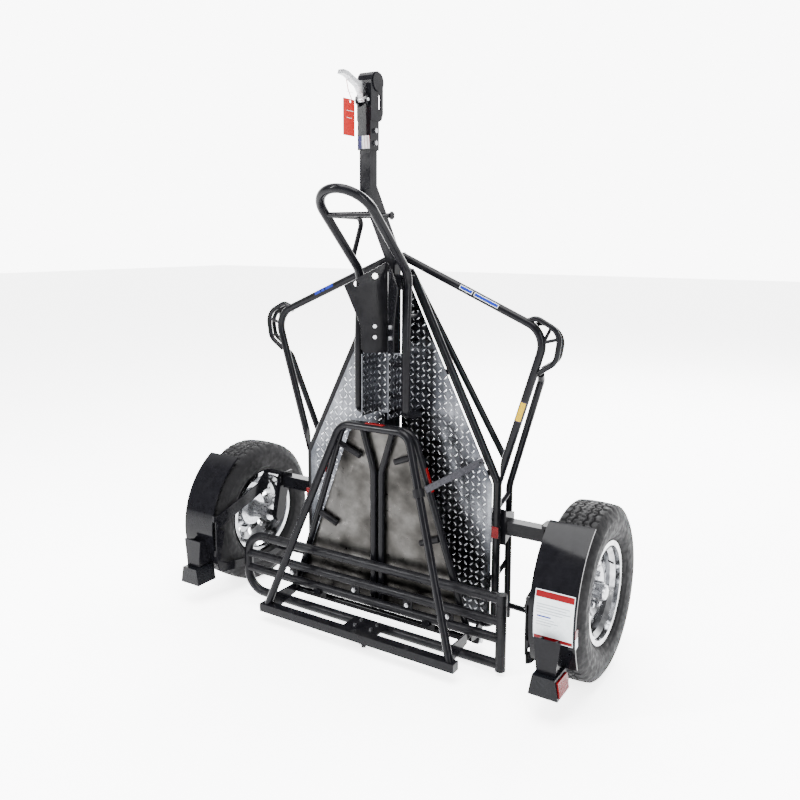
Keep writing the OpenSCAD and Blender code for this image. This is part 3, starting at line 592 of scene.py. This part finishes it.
def fender_label():
    """White notice with a red band at each end and faint ruled lines instead of words."""
    x0, x1, low, high, r = 716, 848, -9.5, 18.5, 334.12
    curved_patch("fender_label_ground", x0, x1, low, high, r, LABEL_WHITE, "main_frame")
    over = r + 0.3
    curved_patch("fender_label_top_band", x0 + 2, x1 - 2, high - 4.0, high - 0.5, over,
                 LABEL_RED, "main_frame")
    curved_patch("fender_label_foot_band", x0 + 2, x1 - 2, low + 0.5, low + 2.6, over,
                 LABEL_RED, "main_frame")
    for i, (start, end) in enumerate(((8, 118), (8, 108), (8, 122), (8, 96))):
        a = high - 7.4 - i * 1.5
        curved_patch("fender_label_line_%d" % i, x0 + start, x0 + end, a - 0.5, a, over,
                     LABEL_GREY, "main_frame")
    for i, (start, end) in enumerate(((10, 70), (10, 84), (10, 60))):
        a = high - 15.6 - i * 1.5
        curved_patch("fender_label_foot_line_%d" % i, x0 + start, x0 + end, a - 0.5, a, over,
                     LABEL_GREY, "main_frame")
    curved_patch("fender_label_blue", x0 + 12, x0 + 58, high - 14.6, high - 13.8, over,
                 LABEL_BLUE, "main_frame")


def side_markers():
    """A white and a red strip on the right fender's outer lip."""
    side = deck(855.6, 0, 0).x
    axle = deck(0, 25, 305)
    markers = (("side_marker_white", -10.5, -4.2, LABEL_WHITE), ("side_marker_red", -4.2, 0.4, LENS))
    for name, low_a, high_a, look in markers:
        points, faces = [], []
        for i in range(5):
            a = math.radians(low_a + (high_a - low_a) * i / 4)
            for r in (0.3125, 0.3335):
                for x in (side, side + 0.0012):
                    points.append((x, axle.y - r * math.cos(a), axle.z + r * math.sin(a)))
        for i in range(4):
            k, m = i * 4, i * 4 + 4
            faces += strip_faces(k, m)
        faces += [(0, 2, 3, 1), (16, 17, 19, 18)]
        add_piece(name, points, faces, look, "main_frame")


def tube_patch(name, start, end, s0, s1, radius, spread, turn_to, look):
    """A sticker wrapped part of the way round a tube, from s0 to s1 mm along it, centred on turn_to."""
    axis = (end - start).normalized()
    face = (turn_to - axis * turn_to.dot(axis)).normalized()
    other = axis.cross(face)
    points, faces = [], []
    around = 12
    for s in (s0, s1):
        for i in range(around + 1):
            a = math.radians(spread) * (2 * i / around - 1)
            ray = face * math.cos(a) + other * math.sin(a)
            for r in (radius, radius + 0.25):
                points.append(start + axis * s * MM + ray * r * MM)
    row = 2 * (around + 1)
    for i in range(around):
        k = 2 * i
        faces.append((k + 1, k + 3, row + k + 3, row + k + 1))
        faces.append((k, row + k, row + k + 2, k + 2))
        faces.append((k, k + 2, k + 3, k + 1))
        faces.append((row + k, row + k + 1, row + k + 3, row + k + 2))
    faces += [(0, 1, row + 1, row), (row - 2, 2 * row - 2, 2 * row - 1, row - 1)]
    return add_piece(name, points, faces, look, "main_frame")


def arm_stickers():
    front = Vector((0.25, -1, 0.25))
    corner = deck(604, 15, 1192)
    top = deck(12, 15, 1449)
    low = deck(428, 15, 614)
    for i, (start, end, wide) in enumerate(((200, 300, 20), (312, 364, 20))):
        tube_patch("arm_mark_edge_%d" % i, corner, top, start - 2, end + 2, 15.25, wide + 7, front,
                   LABEL_WHITE)
        tube_patch("arm_mark_blue_%d" % i, corner, top, start, end, 15.55, wide, front, LABEL_BLUE)
    tube_patch("arm_notice_ground", low, corner, 268, 346, 15.25, 44, front, LABEL_NAVY)
    tube_patch("arm_notice_yellow", low, corner, 271, 343, 15.55, 38, front, LABEL_YELLOW)
    mirrored = deck(-604, 15, 1192)
    top_left = deck(-12, 15, 1449)
    for i, (start, end) in enumerate(((232, 262), (268, 284), (290, 330))):
        tube_patch("arm_left_mark_%d" % i, mirrored, top_left, start, end, 15.25, 26,
                   Vector((-0.2, -1, 0.3)), LABEL_BLUE)


def ring(name, centre, normal, radius, wire, look, body, around=40, start=0.0, sweep=360.0):
    normal = Vector(normal).normalized()
    side = normal.orthogonal().normalized()
    other = normal.cross(side)
    points, faces = [], []
    closed = sweep >= 360
    steps = around if closed else around + 1
    for i in range(steps):
        a = math.radians(start + sweep * i / around)
        ray = side * math.cos(a) + other * math.sin(a)
        for j in range(8):
            b = TAU * j / 8
            points.append(centre + ray * (radius + wire * math.cos(b)) + normal * (wire * math.sin(b)))
    for i in range(steps if closed else steps - 1):
        m = (i + 1) % steps
        for j in range(8):
            n = (j + 1) % 8
            faces.append((i * 8 + j, m * 8 + j, m * 8 + n, i * 8 + n))
    if not closed:
        faces.append(tuple(range(8)))
        faces.append(tuple(reversed(range((steps - 1) * 8, steps * 8))))
    return add_piece(name, points, faces, look, body, smooth=True)


def weld_bead(name, start, end, width, look=None, body="main_frame"):
    """A row of overlapping ripples along a straight seam."""
    run = end - start
    along = run.normalized()
    side = along.orthogonal().normalized()
    other = along.cross(side)
    steps = max(6, int(run.length / (0.9 * MM)))
    points, faces = [], []
    for i in range(steps + 1):
        r = width * (0.8 + 0.2 * math.sin(i * TAU / 5)) * (0.35 if i in (0, steps) else 1.0)
        for j in range(8):
            b = TAU * j / 8
            points.append(start + run * (i / steps) + (side * math.cos(b) + other * math.sin(b)) * r)
    for i in range(steps):
        for j in range(8):
            n = (j + 1) % 8
            faces.append((i * 8 + j, i * 8 + n, i * 8 + 8 + n, i * 8 + 8 + j))
    faces.append(tuple(reversed(range(8))))
    faces.append(tuple(range(steps * 8, steps * 8 + 8)))
    return add_piece(name, points, faces, look or FRAME_BLACK, body, smooth=True)


def coupler_labels():
    """Plain striped notice on the coupler and ruled lines on the tag; no words and no marks."""
    front = deck(0, -217.3, 0).y
    z0, z1 = deck(0, 0, 1822).z, deck(0, 0, 1866).z
    box_piece("coupler_notice", (deck(-24, 0, 0).x, front - 0.0003, z0),
              (deck(24, 0, 0).x, front, z1), LABEL_WHITE, "main_frame")
    box_piece("coupler_notice_navy", (deck(-24, 0, 0).x, front - 0.0006, z0),
              (deck(-8, 0, 0).x, front - 0.0003, z1), LABEL_NAVY, "main_frame")
    for i in range(5):
        x = deck(-6 + i * 6.4, 0, 0).x
        points = [(x, front - 0.0006, z0), (x + 0.0026, front - 0.0006, z0), (x + 0.0046, front - 0.0006, z1),
                  (x + 0.002, front - 0.0006, z1)]
        points += [(a, b + 0.0003, c) for a, b, c in points]
        faces = [(0, 1, 2, 3), (7, 6, 5, 4), (0, 4, 5, 1), (1, 5, 6, 2), (2, 6, 7, 3), (3, 7, 4, 0)]
        add_piece("coupler_notice_stripe_%d" % i, points, faces, LABEL_RED, "main_frame")
    tag_low, tag_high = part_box("hang_tag")
    face = tag_high.x
    depth = tag_high.y - tag_low.y
    tall = tag_high.z - tag_low.z
    for i, (share, start, end) in enumerate(((0.74, 0.2, 0.8), (0.42, 0.2, 0.8), (0.3, 0.2, 0.66))):
        z = tag_low.z + tall * share
        box_piece("tag_line_%d" % i, (face, tag_low.y + depth * start, z),
                  (face + 0.0002, tag_low.y + depth * end, z + 0.0012), LABEL_WHITE, "tag")


def lens_ribs():
    """Fine upright flutes over each lamp lens."""
    for side, sign in (("left", -1), ("right", 1)):
        low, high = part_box("light_lens_" + side)
        for i in range(7):
            y = low.y + (high.y - low.y) * (i + 1) / 8
            edge = high.x if sign > 0 else low.x
            inner, outer = (edge - 0.0012, edge) if sign > 0 else (edge, edge + 0.0012)
            middle = (low.z + high.z) / 2
            half = (high.z - low.z) * 0.3
            box_piece("lens_rib_%s_%d" % (side, i), (inner, y - 0.0012, middle - half),
                      (outer, y + 0.0012, middle + half), LENS_RIB, "main_frame", 0.0004)


def frame_welds():
    """Beads where the tubes and plates meet."""
    for x in (-430, 430):
        for z in (632, 110):
            ring("weld_edge_%d_%d" % (x + 1000, z), deck(x, 16, z), (0, 0, 1), 0.0158, 0.0016, FRAME_BLACK,
                 "main_frame")
    for x in (-40, 40):
        weld_bead("weld_peak_%d" % (x + 100), deck(x, -2, 1362), deck(x * 0.6, -2, 1376), 0.0022)
    for sign in (-1, 1):
        weld_bead("weld_arm_%d" % (sign + 1), deck(sign * 24, 1, 1436), deck(sign * 24, 1, 1460), 0.0025)
        weld_bead("weld_foot_%d" % (sign + 1), deck(sign * 404, -315, 75), deck(sign * 422, -300, 75),
                  0.002, None, "tail_section")


def valve_stems():
    for side, sign in (("left", -1), ("right", 1)):
        middle = deck(sign * 812, 25, 305)
        start = middle + Vector((0, 0.118, 0.068))
        end = start + Vector((sign * 0.022, -0.006, -0.004))
        weld_bead("valve_" + side, start, end, 0.0042, HARD_RUBBER, "wheel_" + side)


def tag_wire():
    low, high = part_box("hang_tag")
    hole = Vector(((low.x + high.x) / 2, (low.y + high.y) / 2, high.z - 0.006))
    ring("tag_wire", hole, (0, 1, 0.2), 0.0045, 0.0006, ZINC, "tag", 24)


make_camera()
make_studio()
dress_nodes()
make_deck_lugs()
make_channel_lugs()
for side in ("left", "right"):
    make_tyre(side)
lens_ribs()
frame_welds()
valve_stems()
tag_wire()
fender_label()
side_markers()
arm_stickers()
coupler_labels()
